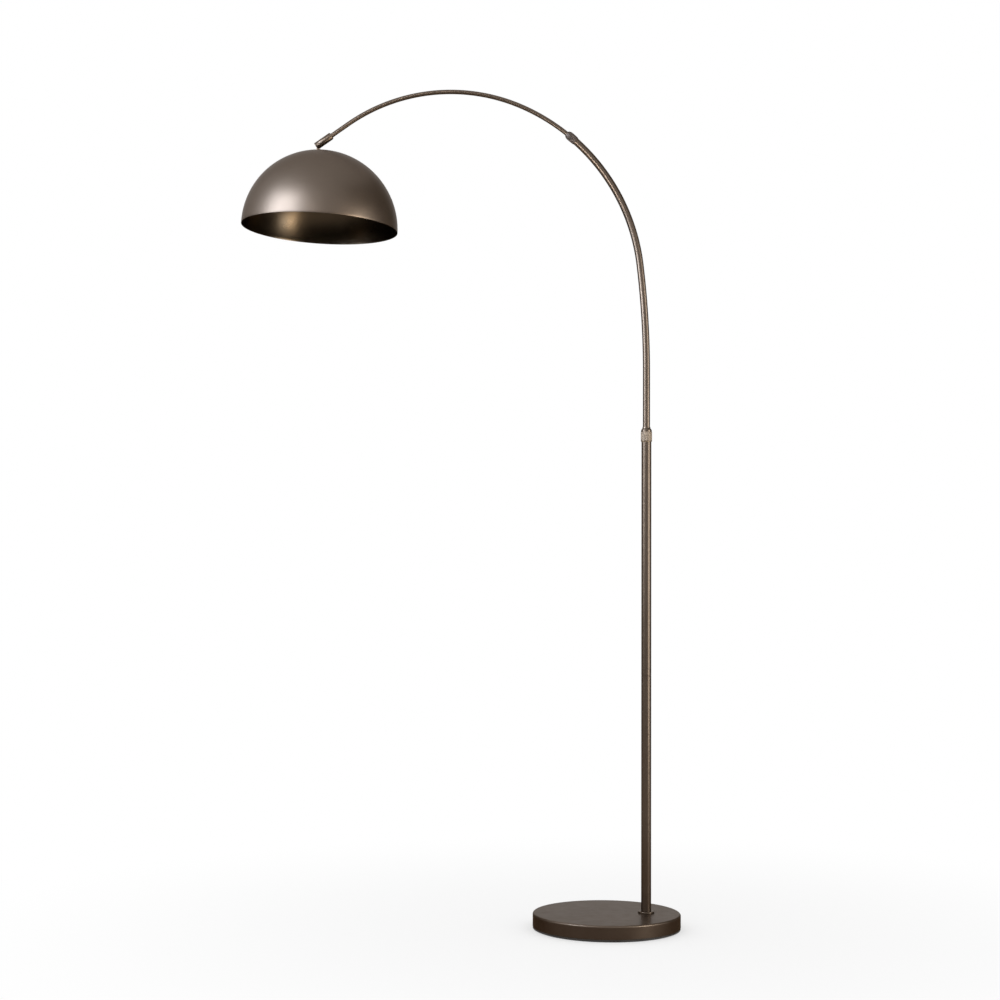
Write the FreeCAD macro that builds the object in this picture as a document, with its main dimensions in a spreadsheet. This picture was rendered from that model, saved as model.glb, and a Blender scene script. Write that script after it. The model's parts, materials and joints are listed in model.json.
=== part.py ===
import FreeCAD, Part
import math
import os
import re

import Sketcher
from FreeCAD import Placement, Rotation, Vector

# An arched floor lamp: a weighted round base, an upright pole in two sections, a curved arm that
# telescopes in the pole and again half way along the arch, and a dome shade on a tilting knuckle.
# Millimetres. The origin is the middle of the base on the floor, +Z is up, +X runs from the middle
# of the base towards the pole, and the arch reaches over towards -X in the XZ plane.

doc = FreeCAD.newDocument("arched_floor_lamp")

sizes = {
    # base
    "base_radius": 162.5,
    "base_height": 35,
    "cover_wall": 1.5,
    "cover_edge": 4,
    "pad_thick": 2,
    "pad_inset": 6,
    "weight_foot": 4,
    "weight_floor": 14,
    "weight_rim": 12,
    "weight_gap": 0.5,
    "boss_radius": 32,
    "clamp_web": 13.5,
    "recess_radius": 22,
    "channel_width": 20,
    "inlet_angle": 60,
    "inlet_rise": 14,
    "inlet_bore": 3.2,
    "inlet_hole": 4.5,
    "inlet_flange": 6.5,
    "inlet_lip": 2,
    "inlet_sag": 0.2,
    # pole and its foot
    "pole_offset": 87,
    "pole_radius": 11,
    "pole_wall": 1.5,
    "section_length": 519,
    "seam_chamfer": 0.4,
    "foot_ring_radius": 18,
    "foot_ring_height": 3.5,
    "foot_ring_edge": 1.2,
    "stud_radius": 8,
    "stud_bore": 4.5,
    "stud_plug": 30,
    "stud_spare": 3,
    "washer_radius": 18,
    "washer_thick": 2.5,
    "foot_nut_flats": 24,
    "foot_nut_height": 8,
    "coupler_length": 60,
    "coupler_bore": 6,
    # the curved arm
    "leg_radius": 8,
    "leg_wall": 1,
    "leg_tail": 203,
    "leg_straight": 157,
    "rise_radius": 2016,
    "rise_turn": 6.9,
    "crown_radius": 449.5,
    "crown_turn": 58.8,
    "collar_turn": 42.2,
    "reach_radius": 398.5,
    "reach_turn": 59.9,
    "reach_straight": 82.8,
    "arm_radius": 5,
    "arm_wall": 0.8,
    "arm_tail": 20.5,
    "bush_length": 24,
    # twist lock between pole and arm
    "pole_nut_radius": 12.5,
    "pole_nut_length": 23,
    "pole_nut_foot": 11.4,
    "pole_nut_taper": 3,
    "pole_cap_radius": 11.9,
    "pole_cap_length": 11,
    "cap_straight": 2.2,
    "cap_shoulder": 6.8,
    "cap_round": 5,
    "cap_neck": 1.6,
    "cap_hollow": 12,
    "cap_lip": 0.7,
    "pole_ring_shank": 22,
    "pole_ring_head": 20,
    "pole_thread_radius": 10.2,
    "pole_ring_rim": 0.7,
    "pole_cone_start": 8,
    "pole_collet_start": 10,
    "pole_slit": 1.5,
    "collet_land": 0.5,
    "knurl_count": 36,
    "knurl_depth": 0.35,
    "knurl_margin": 0.6,
    # twist lock between the two tubes of the arm
    "arm_ring_shank": 9,
    "arm_thread_radius": 8.2,
    "arm_thread_length": 10,
    "arm_ring_rim": 1,
    "arm_cone_start": 3,
    "arm_collet_start": 3.5,
    "arm_collet_gap": 0.35,
    "arm_collet_flange": 2,
    "arm_slit": 1.2,
    "arm_nut_radius": 9.6,
    "arm_nut_foot": 9,
    "arm_nut_back": 9,
    "arm_nut_front": 17,
    "arm_nut_round": 9,
    "arm_nut_nose": 3.2,
    "arm_nut_curve": 14.3,
    # tilting knuckle
    "fork_radius": 8.3,
    "fork_tip": 6,
    "fork_length": 36.7,
    "fork_slot": 5,
    "fork_slot_depth": 8,
    "fork_socket": 24,
    "fork_chamfer": 1.5,
    "fork_edge": 0.5,
    "lead_radius": 3,
    "pin_radius": 2,
    "pin_head_radius": 3.4,
    "pin_head_height": 1.6,
    "pin_head_flat": 2.6,
    "pin_head_side": 1,
    "pin_head_round": 1.2,
    "pin_seat": 1.5,
    "screw_slot_width": 0.9,
    "screw_slot_depth": 0.8,
    "pin_nut_flats": 6.5,
    "pin_nut_height": 2.2,
    "shim_thick": 0.25,
    "tongue_thick": 4.4,
    "tongue_eye": 5.6,
    "tongue_neck": 8,
    "tongue_boss": 6.5,
    "tongue_boss_height": 2.6,
    "pivot_to_cap": 13.5,
    # shade and lamp holder
    "shade_lean": -1.5,
    "rim_lean": 2.4,
    "shade_radius": 175,
    "shade_wall": 1,
    "top_cap_radius": 13.5,
    "top_cap_height": 2,
    "stem_radius": 5,
    "stem_bore": 3.5,
    "stem_grip": 2.2,
    "stem_end": 8,
    "inner_washer_radius": 12,
    "inner_washer_thick": 1.6,
    "stem_nut_flats": 14,
    "stem_nut_height": 3,
    "holder_radius": 20,
    "holder_wall": 2.2,
    "holder_neck_radius": 9,
    "holder_cap_height": 16,
    "holder_length": 32,
    "holder_floor": 4,
    "holder_round": 10,
    "holder_curve": 12,
    "holder_edge": 1,
    "contact_radius": 6,
    "contact_height": 1.5,
    "bulb_cap_radius": 13.2,
    "bulb_cap_length": 25,
    "bulb_cap_tip": 5,
    "bulb_neck_radius": 13,
    "bulb_neck_length": 6,
    "bulb_neck_curve": 60,
    "bulb_waist_angle": 35,
    "bulb_radius": 30,
    "bulb_length": 105,
    "bulb_wall": 1,
    # clearances
    "slide_gap": 0.1,
    "run_gap": 0.3,
    "thread_gap": 0.12,
    "cone_gap": 0.15,
    "bore_gap": 0.6,
    "nose_gap": 0.75,
}

sheet = doc.addObject("Spreadsheet::Sheet", "Sizes")
for row, (alias, number) in enumerate(sizes.items(), start=1):
    sheet.set(f"A{row}", alias)
    sheet.set(f"B{row}", str(number))
    sheet.setAlias(f"B{row}", alias)
doc.recompute()

owner = {alias: "Sizes" for alias in sizes}


def linked(text):
    """The same formula with each size named together with its sheet."""

    def full_name(word):
        return f"{owner[word[0]]}.{word[0]}" if word[0] in owner else word[0]

    return re.sub(r"\b[a-z_]+\b", full_name, text)


def value(text):
    return float(sheet.evalExpression(linked(text)))


# Points along the lamp that several pieces share. The arm's centreline climbs straight out of the
# pole, then runs through three arcs, each tangent to the one before it. Angles are in degrees about
# an arc's centre, from +X towards +Z.
points = {
    "pole_foot": "base_height",
    "pole_seam": "pole_foot + section_length",
    "pole_top": "pole_seam + section_length",
    "weight_top": "base_height - cover_wall",
    "recess_roof": "weight_top - clamp_web",
    "leg_end": "pole_top - leg_tail",
    "leg_top": "pole_top + leg_straight",
    "rise_end_x": "pole_offset - rise_radius * (1 - cos(rise_turn))",
    "rise_end_z": "leg_top + rise_radius * sin(rise_turn)",
    "crown_x": "rise_end_x - crown_radius * cos(rise_turn)",
    "crown_z": "rise_end_z - crown_radius * sin(rise_turn)",
    "collar_angle": "rise_turn + collar_turn",
    "tail_angle": "collar_angle - arm_tail",
    "crown_end": "rise_turn + crown_turn",
    "collar_x": "crown_x + crown_radius * cos(collar_angle)",
    "collar_z": "crown_z + crown_radius * sin(collar_angle)",
    "tail_x": "crown_x + crown_radius * cos(tail_angle)",
    "tail_z": "crown_z + crown_radius * sin(tail_angle)",
    "reach_x": "crown_x + (crown_radius - reach_radius) * cos(crown_end)",
    "reach_z": "crown_z + (crown_radius - reach_radius) * sin(crown_end)",
    "reach_end": "crown_end + reach_turn",
    "pivot_x": "reach_x + reach_radius * cos(reach_end) - reach_straight * sin(reach_end)",
    "pivot_z": "reach_z + reach_radius * sin(reach_end) + reach_straight * cos(reach_end)",
    "shade_top": "pivot_to_cap + top_cap_height",
    "shade_centre": "shade_top + shade_radius",
    "rim_x": "pivot_x - shade_centre * sin(shade_lean)",
    "rim_z": "pivot_z - shade_centre * cos(shade_lean)",
    "under_shade": "shade_top + shade_wall",
    "under_washer": "under_shade + inner_washer_thick",
    "under_nut": "under_washer + stem_nut_height",
    "cap_rim": "under_nut + holder_cap_height",
    "holder_mouth": "cap_rim + holder_length",
    "bulb_start": "cap_rim + holder_floor + contact_height",
    "bulb_shoulder": "bulb_start + bulb_cap_length",
    "bulb_middle": "bulb_start + bulb_length - bulb_radius",
}
least = 1e-4

place_sheet = doc.addObject("Spreadsheet::Sheet", "Places")
for row, (alias, formula) in enumerate(points.items(), start=1):
    place_sheet.set(f"A{row}", alias)
    place_sheet.set(f"B{row}", "=" + linked(formula).replace("Places.", ""))
    place_sheet.setAlias(f"B{row}", alias)
    owner[alias] = "Places"
    doc.recompute()

sub_parts = []


def bind(thing, name, text):
    thing.setExpression(name, linked(text))


def origin_plane(body, role):
    return next(plane for plane in body.Origin.OriginFeatures if plane.Role == role)


def new_body(label, x="0", z="0", y="0", lean=None, about=(0, 1, 0)):
    """A body whose own Z axis leans by an angle about Y, or stands upright."""
    body = doc.addObject("PartDesign::Body", label)
    body.Label = label
    if lean:
        body.Placement = Placement(Vector(), Rotation(Vector(*about), value(lean)))
        bind(body, "Placement.Rotation.Angle", f"({lean}) * 1 deg")
    for axis, text in (("x", x), ("y", y), ("z", z)):
        bind(body, f"Placement.Base.{axis}", text)
    sub_parts.append(body)
    return body


def new_sketch(body, name, role, height=None):
    sketch = body.newObject("Sketcher::SketchObject", name)
    sketch.AttachmentSupport = [(origin_plane(body, role), "")]
    sketch.MapMode = "FlatFace"
    if height:
        bind(sketch, "AttachmentOffset.Base.z", height)
    return sketch


def arc_between(start, end, radius, side):
    """The short arc from start to end, with its centre to the left (1) or right (-1) of the way there."""
    chord = end - start
    rise = math.sqrt(max(radius ** 2 - (chord.Length / 2) ** 2, 0))
    across = Vector(-chord.y, chord.x, 0).normalize() * rise * side
    centre = (start + end) / 2 + across
    first, last = (start, end) if side > 0 else (end, start)
    turn_on = math.atan2(first.y - centre.y, first.x - centre.x)
    turn_off = math.atan2(last.y - centre.y, last.x - centre.x)
    if turn_off < turn_on:
        turn_off += 2 * math.pi
    return Part.ArcOfCircle(Part.Circle(centre, Vector(0, 0, 1), radius), turn_on, turn_off)


def draw_outline(sketch, corners):
    """A closed outline. A corner is (across, up), and (across, up, radius, side) ends an arc."""
    spots = [Vector(value(corner[0]), value(corner[1]), 0) for corner in corners]
    base = sketch.GeometryCount
    ends = []
    for index, start in enumerate(spots):
        after = (index + 1) % len(spots)
        corner = corners[after]
        if len(corner) == 2:
            sketch.addGeometry(Part.LineSegment(start, spots[after]), False)
            ends.append((1, 2))
        else:
            sketch.addGeometry(arc_between(start, spots[after], value(corner[2]), corner[3]), False)
            ends.append((1, 2) if corner[3] > 0 else (2, 1))
    for index in range(len(spots)):
        after = (index + 1) % len(spots)
        meeting = (base + index, ends[index][1], base + after, ends[after][0])
        sketch.addConstraint(Sketcher.Constraint("Coincident", *meeting))
    for index, corner in enumerate(corners):
        spot = spots[index]
        for kind, text, size in (("DistanceX", corner[0], spot.x), ("DistanceY", corner[1], spot.y)):
            meeting = (-1, 1, base + index, ends[index][0])
            number = sketch.addConstraint(Sketcher.Constraint(kind, *meeting, size))
            bind(sketch, f"Constraints[{number}]", text)
        if len(corner) > 2:
            curve = base + (index - 1) % len(spots)
            number = sketch.addConstraint(Sketcher.Constraint("Radius", curve, value(corner[2])))
            bind(sketch, f"Constraints[{number}]", corner[2])


def draw_circle(sketch, radius, x="0", y="0"):
    centre = Vector(value(x), value(y), 0)
    curve = sketch.addGeometry(Part.Circle(centre, Vector(0, 0, 1), value(radius)), False)
    for kind, text, size in (("DistanceX", x, centre.x), ("DistanceY", y, centre.y)):
        number = sketch.addConstraint(Sketcher.Constraint(kind, -1, 1, curve, 3, size))
        bind(sketch, f"Constraints[{number}]", text)
    number = sketch.addConstraint(Sketcher.Constraint("Radius", curve, value(radius)))
    bind(sketch, f"Constraints[{number}]", radius)


def turned(label, corners, **place):
    """A piece turned about its own Z axis from an outline of (radius, height) corners."""
    body = new_body(label, **place)
    outline = new_sketch(body, f"{label}_outline", "XZ_Plane")
    draw_outline(outline, corners)
    turn = body.newObject("PartDesign::Revolution", f"{label}_turn")
    turn.Profile = outline
    turn.ReferenceAxis = (outline, ["V_Axis"])
    turn.Angle = 360
    return body


def ring(label, inner, outer, low, high, **place):
    return turned(label, [(inner, low), (outer, low), (outer, high), (inner, high)], **place)


def cut(body, name, sketch, length=None, both_ways=False, flip=False):
    """A pocket that is checked to have taken material away."""
    doc.recompute()
    before = body.Shape.Volume
    pocket = body.newObject("PartDesign::Pocket", name)
    pocket.Profile = sketch
    if length:
        pocket.Type = 0
        pocket.Length = value(length)
        bind(pocket, "Length", length)
    else:
        pocket.Type = 1
    pocket.Midplane = both_ways
    pocket.Reversed = flip
    doc.recompute()
    if body.Shape.Volume > before - least:
        raise RuntimeError(f"{name} cuts nothing")
    return pocket


def grooved(body, radius, low, high):
    """Straight grooves round the outside of a nut, for grip."""
    groove = new_sketch(body, f"{body.Label}_groove", "XY_Plane", low)
    draw_outline(groove, [
        (f"{radius} - knurl_depth", "0"),
        (f"{radius} + knurl_depth", "-2 * knurl_depth"),
        (f"{radius} + knurl_depth", "2 * knurl_depth"),
    ])
    first = cut(body, f"{body.Label}_first_groove", groove, f"{high} - ({low})", flip=True)
    knurl = body.newObject("PartDesign::PolarPattern", f"{body.Label}_knurl")
    knurl.Originals = [first]
    knurl.Axis = (groove, ["N_Axis"])
    knurl.Angle = 360
    knurl.Occurrences = int(value("knurl_count"))
    bind(knurl, "Occurrences", "knurl_count")
    body.Tip = knurl


def split(body, width, deep):
    """The slit that lets a collet close on the tube inside it."""
    slit = new_sketch(body, f"{body.Label}_slit", "XY_Plane")
    draw_outline(slit, [
        ("0", f"-{width} / 2"),
        (deep, f"-{width} / 2"),
        (deep, f"{width} / 2"),
        ("0", f"{width} / 2"),
    ])
    cut(body, f"{body.Label}_opening", slit, both_ways=True)


def swept_tube(label, outer, inner, path, **place):
    """A round tube that starts along its own Z axis and then follows straight runs and arcs."""
    body = new_body(label, **place)
    spine = new_sketch(body, f"{label}_path", "XZ_Plane")
    spot = Vector(0, 0, 0)
    heading = 90.0
    for index, (kind, *amounts) in enumerate(path):
        if kind == "straight":
            length = value(amounts[0])
            way = Vector(math.cos(math.radians(heading)), math.sin(math.radians(heading)), 0)
            spine.addGeometry(Part.LineSegment(spot, spot + way * length), False)
            spot = spot + way * length
            limits = (("Distance", (index, 1, index, 2), length, amounts[0]),)
        else:
            radius = value(amounts[0])
            turn = value(amounts[1])
            start = math.radians(heading - 90)
            centre = spot - Vector(math.cos(start), math.sin(start), 0) * radius
            stop = start + math.radians(turn)
            circle = Part.Circle(centre, Vector(0, 0, 1), radius)
            spine.addGeometry(Part.ArcOfCircle(circle, start, stop), False)
            spot = centre + Vector(math.cos(stop), math.sin(stop), 0) * radius
            heading += turn
            limits = (
                ("Radius", (index,), radius, amounts[0]),
                ("Angle", (index,), math.radians(turn), f"({amounts[1]}) * 1 deg"),
            )
        if index:
            spine.addConstraint(Sketcher.Constraint("Tangent", index - 1, 2, index, 1))
        else:
            spine.addConstraint(Sketcher.Constraint("Coincident", -1, 1, 0, 1))
            if kind == "straight":
                spine.addConstraint(Sketcher.Constraint("Vertical", 0))
            else:
                spine.addConstraint(Sketcher.Constraint("PointOnObject", 0, 3, -1))
        for constraint, target, amount, text in limits:
            number = spine.addConstraint(Sketcher.Constraint(constraint, *target, amount))
            bind(spine, f"Constraints[{number}]", text)
    section = new_sketch(body, f"{label}_section", "XY_Plane")
    draw_circle(section, outer)
    draw_circle(section, inner)
    sweep = body.newObject("PartDesign::AdditivePipe", f"{label}_sweep")
    sweep.Profile = section
    sweep.Spine = spine
    return body


def hex_nut(label, flats, bore, low, high, **place):
    body = new_body(label, **place)
    face = new_sketch(body, f"{label}_face", "XY_Plane", low)
    corner = f"{flats} / sqrt(3)"
    turns = [60 * side for side in range(6)]
    draw_outline(face, [(f"{corner} * cos({turn})", f"{corner} * sin({turn})") for turn in turns])
    draw_circle(face, bore)
    pad = body.newObject("PartDesign::Pad", f"{label}_pad")
    pad.Profile = face
    pad.Length = value(f"{high} - ({low})")
    bind(pad, "Length", f"{high} - ({low})")
    return body


def round_edge(body, name, radius, height, amount):
    """Rounds the circular edge of this radius at this height."""
    doc.recompute()
    near = []
    for number, edge in enumerate(body.Shape.Edges, start=1):
        circle = edge.Curve
        if isinstance(circle, Part.Circle) and abs(circle.Radius - value(radius)) < least:
            local = body.Placement.inverse().multVec(circle.Center)
            if abs(local.z - value(height)) < least:
                near.append(f"Edge{number}")
    base = body.Tip
    fillet = body.newObject("PartDesign::Fillet", name)
    fillet.Base = (base, near)
    fillet.Radius = value(amount)
    bind(fillet, "Radius", amount)


# ---- base ----

def make_pad():
    ring("base_pad", "0", "base_radius - pad_inset", "0", "pad_thick")


def make_weight():
    body = turned("base_weight", [
        ("0", "pad_thick"),
        ("base_radius - weight_gap", "pad_thick"),
        ("base_radius - weight_gap", "pad_thick + weight_foot"),
        ("base_radius - cover_wall - weight_gap", "pad_thick + weight_foot"),
        ("base_radius - cover_wall - weight_gap", "weight_top - cover_edge"),
        ("base_radius - cover_wall - cover_edge", "weight_top"),
        ("base_radius - cover_wall - weight_gap - weight_rim", "weight_top"),
        ("base_radius - cover_wall - weight_gap - weight_rim", "pad_thick + weight_floor"),
        ("0", "pad_thick + weight_floor"),
    ])
    doc.recompute()
    boss = new_sketch(body, "boss_face", "XY_Plane", "pad_thick")
    draw_circle(boss, "boss_radius", x="pole_offset")
    pad = body.newObject("PartDesign::Pad", "pole_boss")
    pad.Profile = boss
    bind(pad, "Length", "weight_top - pad_thick")
    doc.recompute()
    recess = new_sketch(body, "recess_face", "XY_Plane", "pad_thick")
    draw_circle(recess, "recess_radius", x="pole_offset")
    cut(body, "nut_recess", recess, "recess_roof - pad_thick", flip=True)
    hole = new_sketch(body, "stud_hole_face", "XY_Plane")
    draw_circle(hole, "stud_radius + run_gap", x="pole_offset")
    cut(body, "stud_hole", hole, both_ways=True)
    channel = new_sketch(body, "channel_face", "XY_Plane")
    reach = "(base_radius + cover_wall)"
    side = "channel_width / 2"
    foot = f"pole_offset + {side}"
    draw_outline(channel, [
        (f"pole_offset - {side}", "0"),
        (foot, "0"),
        (f"{reach} * cos(inlet_angle) + {side}", f"{reach} * sin(inlet_angle)"),
        (f"{reach} * cos(inlet_angle) - {side}", f"{reach} * sin(inlet_angle)"),
    ])
    cut(body, "lead_channel", channel, "inlet_rise + inlet_flange + weight_gap", flip=True)


def make_cover():
    body = turned("base_cover", [
        ("0", "weight_top"),
        ("base_radius - cover_edge", "weight_top"),
        ("base_radius - cover_wall", "base_height - cover_edge", "cover_edge - cover_wall", -1),
        ("base_radius - cover_wall", "pad_thick + weight_foot"),
        ("base_radius", "pad_thick + weight_foot"),
        ("base_radius", "base_height - cover_edge"),
        ("base_radius - cover_edge", "base_height", "cover_edge", 1),
        ("0", "base_height"),
    ])
    doc.recompute()
    hole = new_sketch(body, "cover_stud_face", "XY_Plane")
    draw_circle(hole, "stud_radius + run_gap", x="pole_offset")
    cut(body, "cover_stud_hole", hole, both_ways=True)
    inlet = new_sketch(body, "cover_inlet_face", "XZ_Plane")
    inlet.AttachmentOffset = Placement(Vector(), Rotation(Vector(0, 1, 0), value("inlet_angle + 90")))
    bind(inlet, "AttachmentOffset.Rotation.Angle", "(inlet_angle + 90) * 1 deg")
    draw_circle(inlet, "inlet_hole", y="inlet_rise")
    cut(body, "cover_inlet_hole", inlet, "base_radius + cover_wall", flip=True)


def make_grommet():
    body = turned("cord_inlet", [
        ("inlet_bore", "-cover_wall - inlet_lip"),
        ("inlet_flange", "-cover_wall - inlet_lip"),
        ("inlet_flange", "-cover_wall - inlet_sag"),
        ("inlet_hole", "-cover_wall - inlet_sag"),
        ("inlet_hole", "0"),
        ("inlet_flange", "0"),
        ("inlet_flange", "inlet_lip / 2"),
        ("inlet_flange - inlet_lip / 2", "inlet_lip", "inlet_lip / 2", 1),
        ("inlet_bore", "inlet_lip"),
    ])
    way = math.radians(value("inlet_angle"))
    outward = Vector(math.cos(way), math.sin(way), 0)
    body.Placement = Placement(Vector(), Rotation(Vector(0, 0, 1), outward))
    bind(body, "Placement.Base.x", "base_radius * cos(inlet_angle)")
    bind(body, "Placement.Base.y", "base_radius * sin(inlet_angle)")
    bind(body, "Placement.Base.z", "inlet_rise")


make_pad()
make_weight()
make_cover()
make_grommet()


# ---- pole ----

def make_foot():
    body = turned("foot_stud", [
        ("stud_bore", "recess_roof - pole_foot - washer_thick - foot_nut_height - stud_spare"),
        ("stud_radius", "recess_roof - pole_foot - washer_thick - foot_nut_height - stud_spare"),
        ("stud_radius", "0"),
        ("pole_radius - pole_wall", "0"),
        ("pole_radius - pole_wall", "stud_plug"),
        ("stud_bore", "stud_plug"),
    ], x="pole_offset", z="pole_foot")
    ring("foot_washer", "stud_radius + run_gap", "washer_radius", "-washer_thick", "0",
         x="pole_offset", z="recess_roof")
    hex_nut("foot_nut", "foot_nut_flats", "stud_radius", "-washer_thick - foot_nut_height", "-washer_thick",
            x="pole_offset", z="recess_roof")
    flange = ring("foot_ring", "pole_radius + slide_gap", "foot_ring_radius", "0", "foot_ring_height",
                  x="pole_offset", z="pole_foot")
    round_edge(flange, "foot_ring_round", "foot_ring_radius", "foot_ring_height", "foot_ring_edge")


def make_pole():
    bore = "pole_radius - pole_wall"
    edge = "seam_chamfer"
    turned("pole_lower", [
        (bore, "0"),
        ("pole_radius", "0"),
        ("pole_radius", f"section_length - {edge}"),
        (f"pole_radius - {edge}", "section_length"),
        (bore, "section_length"),
    ], x="pole_offset", z="pole_foot")
    turned("pole_upper", [
        (bore, "0"),
        (f"pole_radius - {edge}", "0"),
        ("pole_radius", edge),
        ("pole_radius", "section_length"),
        (bore, "section_length"),
    ], x="pole_offset", z="pole_seam")
    ring("pole_coupler", "coupler_bore", bore, "-coupler_length / 2", "coupler_length / 2",
         x="pole_offset", z="pole_seam")


def make_pole_lock():
    here = {"x": "pole_offset", "z": "pole_top"}
    bore = "leg_radius + slide_gap"
    seat = "pole_thread_radius - pole_ring_rim"
    turned("pole_lock_ring", [
        (bore, "-pole_ring_shank"),
        ("pole_radius - pole_wall", "-pole_ring_shank"),
        ("pole_radius - pole_wall", "0"),
        ("pole_thread_radius", "0"),
        ("pole_thread_radius", "pole_ring_head"),
        (seat, "pole_ring_head"),
        (bore, "pole_cone_start"),
    ], **here)
    collet = turned("pole_collet", [
        ("leg_radius + slide_gap / 2", "pole_collet_start"),
        (f"{bore} + cone_gap", "pole_collet_start"),
        (f"{seat} - cone_gap", "pole_ring_head - collet_land"),
        (f"{seat} - cone_gap", "pole_ring_head + run_gap"),
        ("pole_thread_radius", "pole_ring_head + run_gap"),
        ("pole_thread_radius", "pole_nut_length + run_gap"),
        ("leg_radius + slide_gap / 2", "pole_nut_length + run_gap"),
    ], **here)
    split(collet, "pole_slit", "2 * pole_thread_radius")
    nut = turned("pole_lock_nut", [
        ("pole_thread_radius + thread_gap", "run_gap"),
        ("pole_nut_foot", "run_gap"),
        ("pole_nut_radius", "run_gap + pole_nut_taper"),
        ("pole_nut_radius", "pole_nut_length"),
        ("pole_thread_radius + thread_gap", "pole_nut_length"),
    ], **here)
    doc.recompute()
    low = "run_gap + pole_nut_taper + knurl_margin"
    grooved(nut, "pole_nut_radius", low, "pole_nut_length - knurl_margin")
    turned("pole_nut_cap", [
        ("pole_thread_radius + thread_gap", "pole_nut_length"),
        ("pole_cap_radius", "pole_nut_length"),
        ("pole_cap_radius", "pole_nut_length + cap_straight"),
        ("leg_radius + cap_neck", "pole_nut_length + cap_shoulder", "cap_round", 1),
        ("leg_radius + cap_lip", "pole_nut_length + pole_cap_length", "cap_hollow", -1),
        ("leg_radius + run_gap", "pole_nut_length + pole_cap_length"),
        ("leg_radius + run_gap", "pole_nut_length + 2 * run_gap"),
        ("pole_thread_radius + thread_gap", "pole_nut_length + 2 * run_gap"),
    ], **here)


make_foot()
make_pole()
make_pole_lock()


# ---- arm ----

def make_outer_tube():
    swept_tube("bow_outer", "leg_radius", "leg_radius - leg_wall", [
        ("straight", "leg_tail + leg_straight"),
        ("arc", "rise_radius", "rise_turn"),
        ("arc", "crown_radius", "collar_turn"),
    ], x="pole_offset", z="leg_end")
    ring("leg_guide", "leg_radius", "pole_radius - pole_wall - slide_gap / 2", "0", "bush_length",
         x="pole_offset", z="leg_end")


def make_arm_lock():
    here = {"x": "collar_x", "z": "collar_z", "lean": "collar_angle", "about": (0, -1, 0)}
    pass_bore = "arm_radius + bore_gap"
    seat = "arm_thread_radius - arm_ring_rim"
    turned("arm_lock_ring", [
        (pass_bore, "-arm_ring_shank"),
        ("leg_radius - leg_wall", "-arm_ring_shank"),
        ("leg_radius - leg_wall", "0"),
        ("arm_thread_radius", "0"),
        ("arm_thread_radius", "arm_thread_length"),
        (seat, "arm_thread_length"),
        (pass_bore, "arm_cone_start"),
    ], **here)
    top = "arm_thread_length + arm_collet_flange"
    collet = turned("arm_collet", [
        ("arm_radius + arm_collet_gap", "arm_collet_start"),
        (pass_bore, "arm_collet_start"),
        (f"{seat} - 2 * cone_gap", "arm_thread_length - collet_land"),
        (f"{seat} - 2 * cone_gap", "arm_thread_length + run_gap"),
        ("arm_thread_radius - run_gap", "arm_thread_length + run_gap"),
        ("arm_thread_radius - run_gap", top),
        ("arm_radius + arm_collet_gap", top),
    ], **here)
    split(collet, "arm_slit", "2 * arm_thread_radius")
    nut = turned("arm_lock_nut", [
        ("arm_thread_radius + thread_gap", "-arm_nut_back"),
        ("arm_nut_foot", "-arm_nut_back"),
        ("arm_nut_radius", "0"),
        ("arm_nut_radius", "arm_nut_front - arm_nut_round"),
        ("arm_nut_radius - arm_nut_nose", "arm_nut_front", "arm_nut_curve", 1),
        ("arm_radius + nose_gap", "arm_nut_front"),
        ("arm_radius + nose_gap", f"{top} + run_gap"),
        ("arm_thread_radius + thread_gap", f"{top} + run_gap"),
    ], **here)
    doc.recompute()
    grooved(nut, "arm_nut_radius", "-arm_nut_back + knurl_margin", "arm_nut_front - arm_nut_round")


def make_inner_tube():
    here = {"x": "tail_x", "z": "tail_z", "lean": "tail_angle", "about": (0, -1, 0)}
    swept_tube("bow_inner", "arm_radius", "arm_radius - arm_wall", [
        ("arc", "crown_radius", "crown_end - tail_angle"),
        ("arc", "reach_radius", "reach_turn"),
        ("straight", "reach_straight - (fork_length - fork_socket)"),
    ], **here)
    swept_tube("arm_guide", "leg_radius - leg_wall - slide_gap", "arm_radius", [
        ("arc", "crown_radius", "bush_length / crown_radius * 180 / pi"),
    ], **here)


make_outer_tube()
make_arm_lock()
make_inner_tube()


# ---- knuckle: this frame sits on the pivot, with Z up along the tube ----

def make_fork():
    body = turned("knuckle_fork", [
        ("0", "-fork_tip"),
        ("fork_radius - fork_edge", "-fork_tip"),
        ("fork_radius", "-fork_tip + fork_edge"),
        ("fork_radius", "fork_length - fork_chamfer"),
        ("fork_radius - fork_chamfer", "fork_length"),
        ("arm_radius", "fork_length"),
        ("arm_radius", "fork_length - fork_socket"),
        ("lead_radius", "fork_length - fork_socket"),
        ("lead_radius", "fork_slot_depth - fork_edge"),
        ("0", "fork_slot_depth - fork_edge"),
    ], x="pivot_x", z="pivot_z", lean="180 - reach_end")
    doc.recompute()
    slot = new_sketch(body, "fork_slot_face", "YZ_Plane")
    draw_outline(slot, [
        ("-fork_slot / 2", "-fork_tip - fork_edge"),
        ("fork_slot / 2", "-fork_tip - fork_edge"),
        ("fork_slot / 2", "fork_slot_depth"),
        ("-fork_slot / 2", "fork_slot_depth"),
    ])
    cut(body, "fork_slot", slot, both_ways=True)
    hole = new_sketch(body, "fork_pin_face", "XZ_Plane")
    draw_circle(hole, "pin_radius")
    cut(body, "fork_pin_hole", hole, both_ways=True)
    front = new_sketch(body, "fork_head_face", "XZ_Plane", "fork_radius - pin_seat")
    draw_circle(front, "pin_head_radius + run_gap")
    cut(body, "fork_head_seat", front, "fork_radius", flip=True)
    back = new_sketch(body, "fork_nut_face", "XZ_Plane", "-fork_radius + pin_seat")
    draw_circle(back, "pin_nut_flats / sqrt(3) + run_gap")
    cut(body, "fork_nut_seat", back, "fork_radius")


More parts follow.
